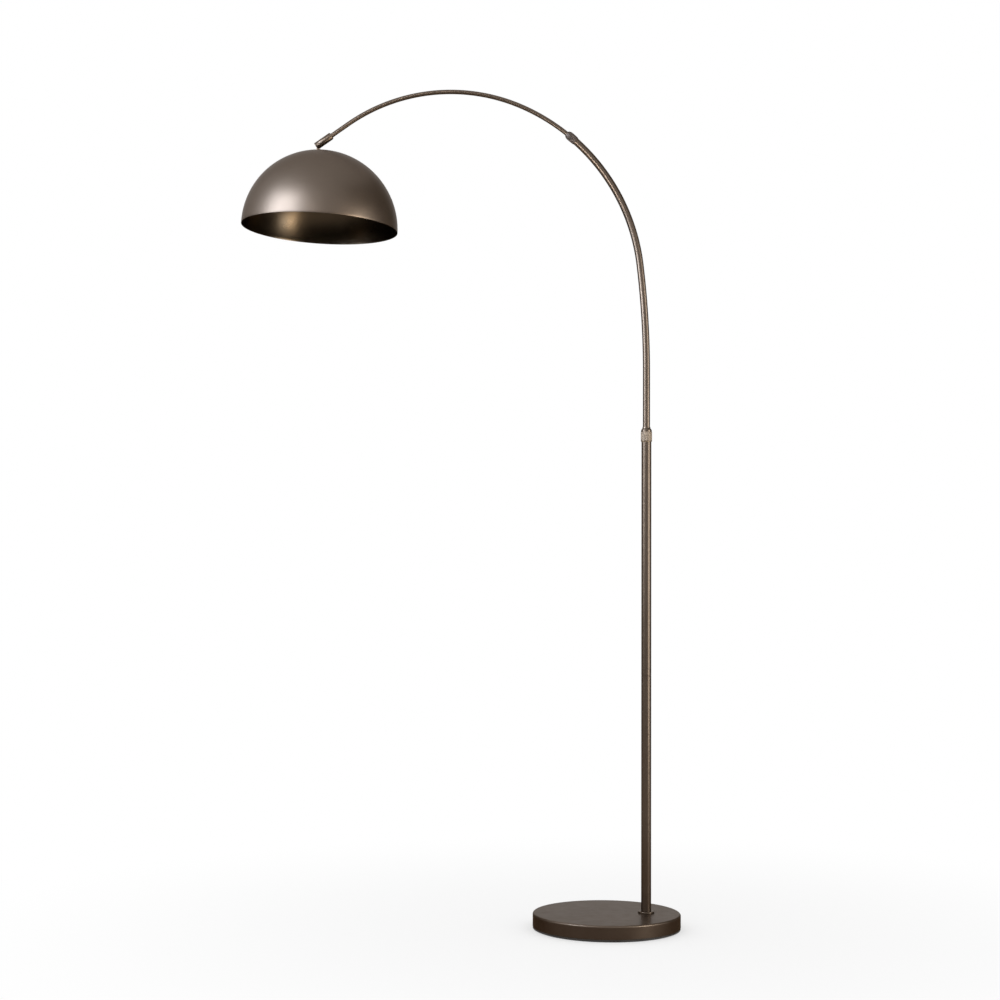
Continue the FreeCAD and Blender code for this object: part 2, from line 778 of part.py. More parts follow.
def make_pivot():
    here = {"x": "pivot_x", "z": "pivot_z"}
    seat = "(fork_radius - pin_seat)"
    screw = turned("pivot_screw", [
        ("0", f"-{seat} - pin_nut_height"),
        ("pin_radius", f"-{seat} - pin_nut_height"),
        ("pin_radius", seat),
        ("pin_head_radius", seat),
        ("pin_head_radius", f"{seat} + pin_head_side"),
        ("pin_head_flat", f"{seat} + pin_head_height", "pin_head_round", 1),
        ("0", f"{seat} + pin_head_height"),
    ], lean="90", about=(1, 0, 0), **here)
    doc.recompute()
    drive = new_sketch(screw, "screw_slot_face", "XY_Plane", f"{seat} + pin_head_height")
    draw_outline(drive, [
        ("-pin_head_radius", "-screw_slot_width / 2"),
        ("pin_head_radius", "-screw_slot_width / 2"),
        ("pin_head_radius", "screw_slot_width / 2"),
        ("-pin_head_radius", "screw_slot_width / 2"),
    ])
    cut(screw, "screw_slot", drive, "screw_slot_depth")
    hex_nut("pivot_nut", "pin_nut_flats", "pin_radius", f"-{seat} - pin_nut_height", f"-{seat}",
            lean="90", about=(1, 0, 0), **here)
    for label, low in (("shim_front", "tongue_thick / 2 + slide_gap / 2"), ("shim_rear", "-fork_slot / 2")):
        ring(label, "pin_radius", "tongue_eye - run_gap", low, f"{low} + shim_thick",
             lean="90", about=(1, 0, 0), **here)


make_fork()
make_pivot()


# ---- shade: this frame sits on the pivot, with Z up along the shade's own axis ----

shade_frame = {"x": "pivot_x", "z": "pivot_z", "lean": "shade_lean"}


def make_tongue():
    body = new_body("knuckle_tongue", **shade_frame)
    face = new_sketch(body, "tongue_face", "XZ_Plane")
    join = "-sqrt(tongue_eye * tongue_eye - tongue_neck * tongue_neck / 4)"
    foot = "-pivot_to_cap + tongue_boss_height / 2"
    draw_outline(face, [
        ("-tongue_neck / 2", join, "tongue_eye", 1),
        ("-tongue_neck / 2", foot),
        ("tongue_neck / 2", foot),
        ("tongue_neck / 2", join),
        ("0", "tongue_eye", "tongue_eye", 1),
    ])
    plate = body.newObject("PartDesign::Pad", "tongue_plate")
    plate.Profile = face
    plate.Midplane = True
    plate.Length = value("tongue_thick")
    bind(plate, "Length", "tongue_thick")
    doc.recompute()
    disc = new_sketch(body, "tongue_boss_face", "XY_Plane", "-pivot_to_cap")
    draw_circle(disc, "tongue_boss")
    boss = body.newObject("PartDesign::Pad", "tongue_boss")
    boss.Profile = disc
    boss.Length = value("tongue_boss_height")
    bind(boss, "Length", "tongue_boss_height")
    doc.recompute()
    hole = new_sketch(body, "tongue_pin_face", "XZ_Plane")
    draw_circle(hole, "pin_radius + slide_gap / 2")
    cut(body, "tongue_pin_hole", hole, both_ways=True)
    thread = new_sketch(body, "tongue_stem_face", "XY_Plane", "-pivot_to_cap")
    draw_circle(thread, "stem_radius")
    cut(body, "tongue_stem_hole", thread, "stem_grip", flip=True)


def dome_height(radius, out):
    """The height of the dome of this radius, at this distance out from the shade's axis."""
    return f"-shade_centre + sqrt(({radius}) * ({radius}) - ({out}) * ({out}))"


def make_shade():
    inside = "shade_radius - shade_wall"
    dome = turned("shade_dome", [
        ("0", "shade_radius"),
        ("shade_radius", "0", "shade_radius", -1),
        (inside, "0"),
        ("0", inside, inside, 1),
    ], x="rim_x", z="rim_z", lean="rim_lean")
    doc.recompute()
    hole = new_sketch(dome, "dome_stem_face", "XY_Plane")
    aside = "(shade_radius - shade_wall / 2) * sin(shade_lean - rim_lean)"
    draw_circle(hole, "stem_radius + run_gap", x=aside)
    cut(dome, "dome_stem_hole", hole, both_ways=True)
    turned("top_cap", [
        ("stem_radius", "-pivot_to_cap"),
        ("top_cap_radius - top_cap_height / 3", "-pivot_to_cap"),
        ("top_cap_radius", "-pivot_to_cap - top_cap_height / 3"),
        ("top_cap_radius", dome_height("shade_radius", "top_cap_radius")),
        ("stem_radius", dome_height("shade_radius", "stem_radius"), "shade_radius", 1),
    ], **shade_frame)
    turned("inner_washer", [
        ("stem_radius", "-under_washer"),
        ("inner_washer_radius", "-under_washer"),
        ("inner_washer_radius", dome_height(inside, "inner_washer_radius") + " - slide_gap"),
        ("stem_radius", dome_height(inside, "inner_washer_radius") + " - slide_gap"),
    ], **shade_frame)
    ring("shade_stem", "stem_bore", "stem_radius", "-under_nut - stem_end", "-pivot_to_cap + stem_grip",
         **shade_frame)
    hex_nut("stem_nut", "stem_nut_flats", "stem_radius", "-under_nut", "-under_washer", **shade_frame)


def make_holder():
    inside = "holder_radius - holder_wall"
    turned("holder_cap", [
        ("stem_radius", "-under_nut"),
        ("holder_neck_radius", "-under_nut"),
        ("holder_radius", "-under_nut - holder_round", "holder_curve", -1),
        ("holder_radius", "-cap_rim"),
        (inside, "-cap_rim"),
        (inside, "-under_nut - holder_round"),
        ("holder_neck_radius - holder_wall / 2", "-under_nut - holder_wall"),
        ("stem_radius", "-under_nut - holder_wall"),
    ], **shade_frame)
    bore = "bulb_cap_radius + bore_gap"
    turned("holder_body", [
        ("0", "-cap_rim"),
        ("holder_radius", "-cap_rim"),
        ("holder_radius", "-holder_mouth + holder_edge"),
        ("holder_radius - holder_edge", "-holder_mouth"),
        (bore, "-holder_mouth"),
        (bore, "-cap_rim - holder_floor"),
        ("0", "-cap_rim - holder_floor"),
    ], **shade_frame)
    ring("holder_contact", "0", "contact_radius", "-bulb_start", "-cap_rim - holder_floor", **shade_frame)


def make_bulb():
    turned("bulb_cap", [
        ("0", "-bulb_start"),
        ("bulb_cap_tip", "-bulb_start"),
        ("bulb_cap_radius", "-bulb_start - bulb_cap_length / 4"),
        ("bulb_cap_radius", "-bulb_shoulder"),
        ("0", "-bulb_shoulder"),
    ], **shade_frame)
    neck = "-bulb_shoulder - bulb_neck_length"
    skin = "(bulb_radius - bulb_wall)"
    waist = "cos(bulb_waist_angle)"
    waist_height = "sin(bulb_waist_angle)"
    turned("bulb_globe", [
        ("bulb_neck_radius - bulb_wall", "-bulb_shoulder"),
        ("bulb_neck_radius", "-bulb_shoulder"),
        ("bulb_neck_radius", neck),
        (f"bulb_radius * {waist}", f"-bulb_middle + bulb_radius * {waist_height}", "bulb_neck_curve", 1),
        ("0", "-bulb_middle - bulb_radius", "bulb_radius", -1),
        ("0", f"-bulb_middle - {skin}"),
        (f"{skin} * {waist}", f"-bulb_middle + {skin} * {waist_height}", skin, 1),
        ("bulb_neck_radius - bulb_wall", neck, "bulb_neck_curve + bulb_wall", -1),
    ], **shade_frame)


make_tongue()
make_shade()
make_holder()
make_bulb()


# ---- checks and files ----

doc.recompute()
for thing in doc.Objects:
    if "Invalid" in thing.State or "Error" in thing.State:
        raise RuntimeError(f"{thing.Label} failed: {thing.State}")

os.makedirs("parts", exist_ok=True)
whole = FreeCAD.BoundBox()
for body in sub_parts:
    if body.Shape.isNull() or not body.Shape.isValid() or body.Shape.Volume <= 0:
        raise RuntimeError(f"{body.Label} has no sound shape")
    whole.add(body.Shape.BoundBox)
for body in sub_parts:
    body.Shape.exportStep(f"parts/{body.Label}.step")
    print(f"{body.Label:18} {body.Shape.Volume / 1000:10.2f} cm3 {len(body.Shape.Faces):5} faces")
print(f"{len(sub_parts)} sub-parts, {whole.XLength:.1f} x {whole.YLength:.1f} x {whole.ZLength:.1f} mm")
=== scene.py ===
import json
import math
import bmesh
import bpy
from mathutils import Matrix, Vector


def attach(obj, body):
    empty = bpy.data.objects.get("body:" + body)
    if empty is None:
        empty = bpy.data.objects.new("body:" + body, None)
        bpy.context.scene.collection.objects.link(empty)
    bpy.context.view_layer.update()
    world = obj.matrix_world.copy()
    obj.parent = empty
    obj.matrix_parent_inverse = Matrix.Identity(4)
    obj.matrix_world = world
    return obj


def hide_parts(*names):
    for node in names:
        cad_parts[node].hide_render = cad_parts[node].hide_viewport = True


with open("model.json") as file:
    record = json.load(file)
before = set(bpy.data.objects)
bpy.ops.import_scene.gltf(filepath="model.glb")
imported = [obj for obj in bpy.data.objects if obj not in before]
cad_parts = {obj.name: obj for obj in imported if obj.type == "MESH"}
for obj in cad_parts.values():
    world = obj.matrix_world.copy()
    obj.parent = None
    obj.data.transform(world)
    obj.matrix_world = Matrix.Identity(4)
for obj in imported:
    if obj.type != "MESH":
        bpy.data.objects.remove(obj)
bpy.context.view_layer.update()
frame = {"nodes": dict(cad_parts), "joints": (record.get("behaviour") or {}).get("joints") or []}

mm = 0.001
tip = 0.01            # a turned outline reaches the axis at this radius, and its points are merged
weld = 0.00003        # points nearer than this are merged, in metres
rodSides = 48         # of a cutting rod
softSteps = 2         # of a rounded edge
knurlLines = 4        # a nut has this many lines of points for each knurl
skinDepth = 2         # points this near to a nut's outside belong to its skin, in millimetres

joints = {joint["name"]: joint for joint in frame["joints"]}
poleTop = Vector(joints["arm_swivel"]["pos_m"])
crown = Vector(joints["arm_extend"]["pos_m"])
collar = Vector(joints["arm_lock_turn"]["pos_m"])
pivot = Vector(joints["shade_tilt"]["pos_m"])
upright = Matrix.Translation((poleTop.x, 0, 0))


def leaning(place, degrees):          # a place whose own Z leans towards +X
    return Matrix.Translation(place) @ Matrix.Rotation(math.radians(degrees), 4, "Y")


photoCamera = {"place": (-0.2390, -3.9477, 0.7287), "pitch": 93.0965, "roll": 0.294, "lens": 63.91,
               "sensor": 36, "sightEnd": 60}
camera = bpy.data.objects.new("photoCamera", bpy.data.cameras.new("photoCamera"))
bpy.context.scene.collection.objects.link(camera)
camera.data.lens = photoCamera["lens"]
camera.data.sensor_width = photoCamera["sensor"]
camera.data.clip_end = photoCamera["sightEnd"]
camera.matrix_world = (
    Matrix.Translation(photoCamera["place"])
    @ Matrix.Rotation(math.radians(photoCamera["pitch"]), 4, "X")
    @ Matrix.Rotation(math.radians(photoCamera["roll"]), 4, "Z")
)
bpy.context.scene.camera = camera
bpy.context.scene.view_settings.view_transform = "Standard"


def link(tree, pairs):                # each pair is (output, input)
    for start, end in pairs:
        tree.links.new(start, end)


def seenRays(tree):                   # 1 for what the camera, a gloss or a glass sees
    rays = tree.nodes.new("ShaderNodeLightPath")
    first = tree.nodes.new("ShaderNodeMath")
    first.operation = "MAXIMUM"
    both = tree.nodes.new("ShaderNodeMath")
    both.operation = "MAXIMUM"
    link(tree, [
        (rays.outputs["Is Camera Ray"], first.inputs[0]),
        (rays.outputs["Is Glossy Ray"], first.inputs[1]),
        (first.outputs[0], both.inputs[0]),
        (rays.outputs["Is Transmission Ray"], both.inputs[1]),
    ])
    return both.outputs[0]


def fromMiddle(tree):                 # how far a point lies from its object's middle
    where = tree.nodes.new("ShaderNodeTexCoord")
    away = tree.nodes.new("ShaderNodeVectorMath")
    away.operation = "LENGTH"
    tree.links.new(where.outputs["Object"], away.inputs[0])
    return away.outputs["Value"]


def bareTree(owner):                  # a world's or a material's node tree, with no nodes yet
    owner.use_nodes = True
    owner.node_tree.nodes.clear()
    return owner.node_tree


def disc(name, radius, sides, paint):
    bpy.ops.object.select_all(action="DESELECT")
    bpy.ops.mesh.primitive_circle_add(vertices=sides, radius=radius, fill_type="NGON")
    piece = bpy.context.object
    piece.name = name
    piece.data.materials.append(paint)
    return piece


def glossOnly(piece):                 # seen in reflections and nowhere else
    piece.visible_camera = False
    piece.visible_diffuse = False
    piece.visible_shadow = False


def facing(item, front):              # the turn that points the front axis at the item's aim
    return (Vector(item["aim"]) - Vector(item["place"])).to_track_quat(front, "Y").to_euler()


studio = {"worldLight": 0.9, "floorRadius": 9, "floorSides": 96, "floorTone": 0.95, "floorClear": 0.2,
          "floorWhite": 1.6, "floorGlow": 0.5}

world = bpy.data.worlds.new("paleStudio")
bpy.context.scene.world = world
tree = bareTree(world)
lit = tree.nodes.new("ShaderNodeBackground")
lit.inputs["Color"].default_value = (1, 1, 1, 1)
lit.inputs["Strength"].default_value = studio["worldLight"]
seen = tree.nodes.new("ShaderNodeBackground")
seen.inputs["Color"].default_value = (1, 1, 1, 1)
choice = tree.nodes.new("ShaderNodeMixShader")
output = tree.nodes.new("ShaderNodeOutputWorld")
link(tree, [
    (seenRays(tree), choice.inputs[0]),
    (lit.outputs[0], choice.inputs[1]),
    (seen.outputs[0], choice.inputs[2]),
    (choice.outputs[0], output.inputs["Surface"]),
])

# the floor keeps its shadow round the base and turns white further out
floorPaint = bpy.data.materials.new("palePaper")
tree = bareTree(floorPaint)
paper = tree.nodes.new("ShaderNodeBsdfDiffuse")
tone = studio["floorTone"]
paper.inputs["Color"].default_value = (tone, tone, tone, 1)
white = tree.nodes.new("ShaderNodeEmission")
fade = tree.nodes.new("ShaderNodeMapRange")
fade.interpolation_type = "SMOOTHSTEP"
fade.inputs["From Min"].default_value = studio["floorClear"]
fade.inputs["From Max"].default_value = studio["floorWhite"]
fade.inputs["To Min"].default_value = studio["floorGlow"]
share = tree.nodes.new("ShaderNodeMath")
share.operation = "MULTIPLY"
choice = tree.nodes.new("ShaderNodeMixShader")
output = tree.nodes.new("ShaderNodeOutputMaterial")
link(tree, [
    (fromMiddle(tree), fade.inputs["Value"]),
    (fade.outputs["Result"], share.inputs[0]),
    (seenRays(tree), share.inputs[1]),
    (share.outputs[0], choice.inputs[0]),
    (paper.outputs[0], choice.inputs[1]),
    (white.outputs[0], choice.inputs[2]),
    (choice.outputs[0], output.inputs["Surface"]),
])
floor = disc("studioFloor", studio["floorRadius"], studio["floorSides"], floorPaint)

softboxes = {                         # the grid is a beam's width in degrees; an open box has 180
    "keyLeft": {"place": (-1.68, -0.95, 2.04), "aim": (-0.5, 0, 1.94), "size": (1.15, 1.02), "grid": 180,
                "radiance": 15.2, "colour": (0.72, 0.835, 1)},
    "stripLeft": {"place": (-2.0, -0.85, 1.5), "aim": (0.08, 0, 1.3), "size": (0.75, 1.2), "grid": 22,
                  "radiance": 14.0, "colour": (0.85, 0.93, 1)},
    "stripBow": {"place": (-1.23, -1.69, 0.94), "aim": (0.1, 0, 1.6), "size": (0.6, 0.9), "grid": 24,
                 "radiance": 34.0, "colour": (1, 0.97, 0.93)},
    "stripKnuckle": {"place": (-0.85, -2.4, 2.36), "aim": (-0.6, 0, 1.8), "size": (0.7, 0.6), "grid": 10,
                     "radiance": 34.0, "colour": (1, 0.96, 0.9)},
    "stripInside": {"place": (0.65, -0.94, 1.1), "aim": (-0.647, 0, 1.57), "size": (0.35, 1.7), "grid": 50,
                    "radiance": 18.0, "colour": (1, 0.88, 0.7)},
    "fillRight": {"place": (2.1, -1.25, 1.16), "aim": (-0.2, 0, 1.0), "size": (0.75, 2.0), "grid": 180,
                  "radiance": 9.0, "colour": (0.95, 0.95, 0.9)},
    "skyLeft": {"place": (-2.0, -2.4, 3.0), "aim": (-0.2, 0, 0.6), "size": (1.6, 1.6), "grid": 180,
                "radiance": 0.9, "colour": (1, 1, 1), "lightsPaint": True},
}
for name, lamp in softboxes.items():
    light = bpy.data.lights.new(name, "AREA")
    light.shape = "RECTANGLE"
    light.size, light.size_y = lamp["size"]
    light.color = lamp["colour"]
    light.spread = math.radians(lamp["grid"])
    half = light.spread / 2
    openBox = lamp["grid"] == 180
    gathered = 1 if openBox else math.tan(half) / (math.tan(half) - half)    # a grid brightens its beam
    light.energy = lamp["radiance"] * math.pi * light.size * light.size_y / gathered
    box = bpy.data.objects.new(name, light)
    bpy.context.scene.collection.objects.link(box)
    box.location = lamp["place"]
    box.rotation_euler = facing(lamp, "-Z")
    box.visible_camera = False
    box.visible_diffuse = lamp.get("lightsPaint", False)     # the others show in gloss alone

darkCards = {                         # they draw the metal's dark sides
    "cardLeft": {"place": (-1.75, 1.35, 0.9), "aim": (0, 0, 0.9), "size": (2.2, 1.8),
                 "tone": (0.3, 0.26, 0.22)},
    "cardRear": {"place": (1.75, 1.45, 2.1), "aim": (0, 0, 2.1), "size": (2.6, 4.2),
                 "tone": (0.28, 0.24, 0.2)},
    "cardRight": {"place": (2.3, -0.6, 3.45), "aim": (-0.5, 0, 1.6), "size": (3.2, 2.2),
                  "tone": (0.3, 0.26, 0.22)},
}
for name, card in darkCards.items():
    cloth = bpy.data.materials.new(name + "Cloth")
    cloth.use_nodes = True
    shade = cloth.node_tree.nodes["Principled BSDF"]
    shade.inputs["Base Color"].default_value = (*card["tone"], 1)
    shade.inputs["Roughness"].default_value = 1
    shade.inputs["Specular IOR Level"].default_value = 0
    bpy.ops.object.select_all(action="DESELECT")
    bpy.ops.mesh.primitive_plane_add(size=1)
    flag = bpy.context.object
    flag.name = name
    flag.scale = (*card["size"], 1)
    flag.location = card["place"]
    flag.rotation_euler = facing(card, "Z")
    flag.data.materials.append(cloth)
    glossOnly(flag)

paintedGroundReflection = {                            # a glowing disc seen in gloss alone, a painted reflection of the ground; each band is (distance, tone)
    "radius": 30, "sides": 64, "rise": 0.004,
    "bands": ((0.9, (0.22, 0.145, 0.085)), (2.0, (0.8, 0.72, 0.62)), (3.4, (0.7, 0.62, 0.54)),
              (5.5, (0.03, 0.028, 0.025))),
}
reflectionGlowPaint = bpy.data.materials.new("paintedReflectionGlow")
tree = bareTree(reflectionGlowPaint)
reachEnd = paintedGroundReflection["bands"][-1][0]
scale = tree.nodes.new("ShaderNodeMapRange")
scale.inputs["From Max"].default_value = reachEnd
bands = tree.nodes.new("ShaderNodeValToRGB")
while len(bands.color_ramp.elements) < len(paintedGroundReflection["bands"]):
    bands.color_ramp.elements.new(0.5)
for stop, (reach, tone) in zip(bands.color_ramp.elements, paintedGroundReflection["bands"]):
    stop.position = reach / reachEnd
    stop.color = (*tone, 1)
# the glow paints the ground's reflection in the metal
glow = tree.nodes.new("ShaderNodeEmission")
output = tree.nodes.new("ShaderNodeOutputMaterial")
link(tree, [
    (fromMiddle(tree), scale.inputs["Value"]),
    (scale.outputs["Result"], bands.inputs["Fac"]),
    (bands.outputs["Color"], glow.inputs["Color"]),
    (glow.outputs[0], output.inputs["Surface"]),
])
ground = disc("paintedReflectionDisc", paintedGroundReflection["radius"], paintedGroundReflection["sides"], reflectionGlowPaint)
ground.location.z = paintedGroundReflection["rise"]
glossOnly(ground)
print("studio ready")


# a finish is cloudy in tone, uneven in roughness and finely grained
pattern = {"toneStops": (0.32, 0.68), "roughStops": (0.3, 0.7), "cloudDetail": 4, "rubDetail": 3,
           "grainDetail": 2, "grainDepth": 0.0001}


def finish(name, look):
    paint = bpy.data.materials.new(name)
    paint.use_nodes = True
    tree = paint.node_tree
    shade = tree.nodes["Principled BSDF"]
    where = tree.nodes.new("ShaderNodeTexCoord")

    def noise(kind):
        cloud = tree.nodes.new("ShaderNodeTexNoise")
        cloud.inputs["Scale"].default_value = look[kind + "Scale"]
        cloud.inputs["Detail"].default_value = pattern[kind + "Detail"]
        tree.links.new(where.outputs["Object"], cloud.inputs["Vector"])
        return cloud.outputs["Fac"]

    tones = tree.nodes.new("ShaderNodeValToRGB")
    for stop, position, tone in zip(tones.color_ramp.elements, pattern["toneStops"], look["tones"]):
        stop.position = position
        stop.color = (*tone, 1)
    rough = tree.nodes.new("ShaderNodeMapRange")
    rough.inputs["From Min"].default_value, rough.inputs["From Max"].default_value = pattern["roughStops"]
    rough.inputs["To Min"].default_value, rough.inputs["To Max"].default_value = look["rough"]
    relief = tree.nodes.new("ShaderNodeBump")
    relief.inputs["Strength"].default_value = look["grain"]
    relief.inputs["Distance"].default_value = look.get("grainDepth", pattern["grainDepth"])
    link(tree, [
        (noise("cloud"), tones.inputs["Fac"]),
        (tones.outputs["Color"], shade.inputs["Base Color"]),
        (noise("rub"), rough.inputs["Value"]),
        (rough.outputs["Result"], shade.inputs["Roughness"]),
        (noise("grain"), relief.inputs["Height"]),
        (relief.outputs["Normal"], shade.inputs["Normal"]),
    ])
    for socket, amount in look.get("sockets", {}).items():
        shade.inputs[socket].default_value = amount
    return paint


looks = {
    "bronzeTube": {
        "tones": ((0.1, 0.075, 0.057), (0.114, 0.086, 0.066)), "cloudScale": 11,
        "rough": (0.3, 0.34), "rubScale": 60, "grainScale": 1300, "grain": 0.01,
        "sockets": {"Metallic": 1, "Specular Tint": (0.46, 0.43, 0.41, 1), "Coat Weight": 0.06},
    },
    "bronzeBase": {
        "tones": ((0.1, 0.075, 0.057), (0.113, 0.085, 0.065)), "cloudScale": 8,
        "rough": (0.36, 0.41), "rubScale": 40, "grainScale": 1300, "grain": 0.02,
        "sockets": {"Metallic": 1, "Specular Tint": (0.51, 0.49, 0.475, 1), "Coat Weight": 0.05},
    },
    "bronzeShade": {
        "tones": ((0.101, 0.076, 0.058), (0.112, 0.085, 0.065)), "cloudScale": 6,
        "rough": (0.4, 0.44), "rubScale": 30, "grainScale": 1300, "grain": 0.02,
        "sockets": {"Metallic": 1, "Specular Tint": (0.46, 0.43, 0.41, 1), "Coat Weight": 0.2,
                    "Coat Roughness": 0.4},
    },
    # the dome's bronze painted about half as dark on the inside, as painted shade in its hollow
    "domeInsidePaintedShade": {
        "tones": ((0.056, 0.042, 0.029), (0.066, 0.05, 0.035)), "cloudScale": 6,
        "rough": (0.27, 0.31), "rubScale": 30, "grainScale": 1300, "grain": 0.02,
        "sockets": {"Metallic": 1, "Specular Tint": (0.46, 0.43, 0.4, 1)},
    },
    "matteNut": {
        "tones": ((0.2, 0.16, 0.125), (0.25, 0.2, 0.155)), "cloudScale": 60,
        "rough": (0.48, 0.56), "rubScale": 300, "grainScale": 3000, "grain": 0.03,
        "sockets": {"Metallic": 1, "Specular Tint": (0.5, 0.48, 0.45, 1)},
    },
    # the matte nut's finish painted darker for the arm's nut, as painted shade
    "armNutPaintedShade": {
        "tones": ((0.088, 0.071, 0.062), (0.11, 0.088, 0.076)), "cloudScale": 60,
        "rough": (0.56, 0.62), "rubScale": 300, "grainScale": 3000, "grain": 0.03,
        "sockets": {"Metallic": 1, "Specular Tint": (0.46, 0.43, 0.41, 1)},
    },
    "bronzeFitting": {
        "tones": ((0.1, 0.076, 0.058), (0.122, 0.093, 0.071)), "cloudScale": 40,
        "rough": (0.27, 0.32), "rubScale": 200, "grainScale": 2200, "grain": 0.01,
        "sockets": {"Metallic": 1, "Specular Tint": (0.46, 0.43, 0.41, 1), "Coat Weight": 0.06},
    },
    "innerBrass": {
        "tones": ((0.5, 0.36, 0.13), (0.62, 0.46, 0.18)), "cloudScale": 50,
        "rough": (0.25, 0.4), "rubScale": 200, "grainScale": 1800, "grain": 0.1,
        "sockets": {"Metallic": 1},
    },
    "zincSteel": {
        "tones": ((0.42, 0.43, 0.44), (0.56, 0.57, 0.58)), "cloudScale": 60,
        "rough": (0.3, 0.45), "rubScale": 150, "grainScale": 1800, "grain": 0.1,
        "sockets": {"Metallic": 1},
    },
    "castIron": {
        "tones": ((0.035, 0.031, 0.028), (0.06, 0.054, 0.048)), "cloudScale": 30,
        "rough": (0.55, 0.75), "rubScale": 120, "grainScale": 700, "grain": 0.4,
        "sockets": {"Metallic": 0.4},
    },
    "felt": {
        "tones": ((0.018, 0.017, 0.016), (0.04, 0.038, 0.036)), "cloudScale": 250,
        "rough": (0.9, 1), "rubScale": 400, "grainScale": 1600, "grain": 0.8, "grainDepth": 0.0004,
        "sockets": {"Sheen Weight": 0.3},
    },
    "blackPlastic": {
        "tones": ((0.012, 0.012, 0.012), (0.02, 0.02, 0.02)), "cloudScale": 80,
        "rough": (0.38, 0.5), "rubScale": 150, "grainScale": 2200, "grain": 0.25,
    },
    "nylon": {
        "tones": ((0.6, 0.58, 0.51), (0.68, 0.66, 0.59)), "cloudScale": 90,
        "rough": (0.4, 0.5), "rubScale": 200, "grainScale": 1500, "grain": 0.1,
        "sockets": {"Subsurface Weight": 0.2, "Subsurface Scale": 0.002},
    },
    "bulbGlass": {
        "tones": ((0.8, 0.79, 0.76), (0.88, 0.87, 0.84)), "cloudScale": 30,
        "rough": (0.18, 0.24), "rubScale": 60, "grainScale": 900, "grain": 0.02,
        "sockets": {"Subsurface Weight": 0.4, "Subsurface Scale": 0.01, "Coat Weight": 0.5},
    },
    "bulbMetal": {
        "tones": ((0.5, 0.5, 0.49), (0.62, 0.62, 0.6)), "cloudScale": 80,
        "rough": (0.28, 0.4), "rubScale": 200, "grainScale": 1500, "grain": 0.08,
        "sockets": {"Metallic": 1},
    },
}
finishes = {name: finish(name, look) for name, look in looks.items()}
print("finishes ready")


def only(piece):
    bpy.ops.object.select_all(action="DESELECT")
    piece.select_set(True)
    bpy.context.view_layer.objects.active = piece


def startRing(name, radius, sides, place=(0, 0, 0), turn=(0, 0, 0)):
    bpy.ops.object.select_all(action="DESELECT")
    bpy.ops.mesh.primitive_circle_add(
        vertices=sides, radius=radius, fill_type="NOTHING", location=place, rotation=turn)
    piece = bpy.context.object
    piece.name = name
    piece.data.name = name
    bpy.ops.object.mode_set(mode="EDIT")
    bpy.ops.mesh.select_mode(type="VERT")
    bpy.ops.mesh.select_all(action="SELECT")
    return piece


def closeUp():                        # merges doubled points, turns the faces outwards and leaves edit mode
    bpy.ops.mesh.select_all(action="SELECT")
    bpy.ops.mesh.remove_doubles(threshold=weld)
    bpy.ops.mesh.normals_make_consistent(inside=False)
    bpy.ops.object.mode_set(mode="OBJECT")


def turned(name, outline, sides):     # a ring drawn along an outline of (radius, height) in millimetres
    spots = [(max(radius, tip) * mm, height * mm) for radius, height in outline]
    piece = startRing(name, spots[0][0], sides, (0, 0, spots[0][1]))
    for (radius, height), (wide, high) in zip(spots, spots[1:]):
        bpy.ops.mesh.extrude_edges_move(TRANSFORM_OT_translate={"value": (0, 0, high - height)})
        grow = wide / radius
        bpy.ops.transform.resize(value=(grow, grow, 1), center_override=(0, 0, 0))
    closeUp()
    return piece


# the points of an arc after its start; its centre is to the left of the way (side 1) or to the right (-1)
def bend(start, end, radius, side, steps):
    first, last = Vector(start), Vector(end)
    way = last - first
    rise = math.sqrt(max(radius ** 2 - (way.length / 2) ** 2, 0))
    centre = (first + last) / 2 + Vector((-way.y, way.x)).normalized() * rise * side
    low = math.atan2(first.y - centre.y, first.x - centre.x)
    high = math.atan2(last.y - centre.y, last.x - centre.x)
    if side > 0 and high < low:
        high += math.tau
    if side < 0 and high > low:
        high -= math.tau
    angles = [low + (high - low) * step / steps for step in range(1, steps + 1)]
    return [(centre.x + radius * math.cos(angle), centre.y + radius * math.sin(angle)) for angle in angles]


def modify(piece, kind, **settings):
    only(piece)
    modifier = piece.modifiers.new(kind.title(), kind)
    for name, amount in settings.items():
        setattr(modifier, name, amount)
    bpy.ops.object.modifier_apply(modifier=modifier.name)


def walled(piece, thickness):         # gives a skin its wall, inwards
    modify(piece, "SOLIDIFY", thickness=thickness * mm, offset=-1, use_even_offset=True)


def rounded(piece, width, sharp):     # rounds the edges that are sharper than an angle
    modify(piece, "BEVEL", width=width * mm, segments=softSteps, limit_method="ANGLE",
           angle_limit=math.radians(sharp), use_clamp_overlap=True)


def joinedBy(piece, tool, operation="DIFFERENCE"):
    modify(piece, "BOOLEAN", object=tool, operation=operation, solver="EXACT")
    bpy.data.objects.remove(tool)


def smooth(piece, angle=32):
    only(piece)
    bpy.ops.object.shade_smooth_by_angle(angle=math.radians(angle))


def settled():                        # puts the active piece's place and turn into its mesh
    bpy.ops.object.transform_apply(location=True, rotation=True, scale=True)


def seated(piece, place=Matrix.Identity(4)):
    only(piece)
    settled()
    piece.matrix_world = place
    settled()


def block(low, high):                 # a cutting block between two corners in millimetres
    bpy.ops.object.select_all(action="DESELECT")
    bpy.ops.mesh.primitive_cube_add(size=1)
    tool = bpy.context.object
    tool.scale = [(top - bottom) * mm for bottom, top in zip(low, high)]
    tool.location = [(top + bottom) / 2 * mm for bottom, top in zip(low, high)]
    settled()
    return tool


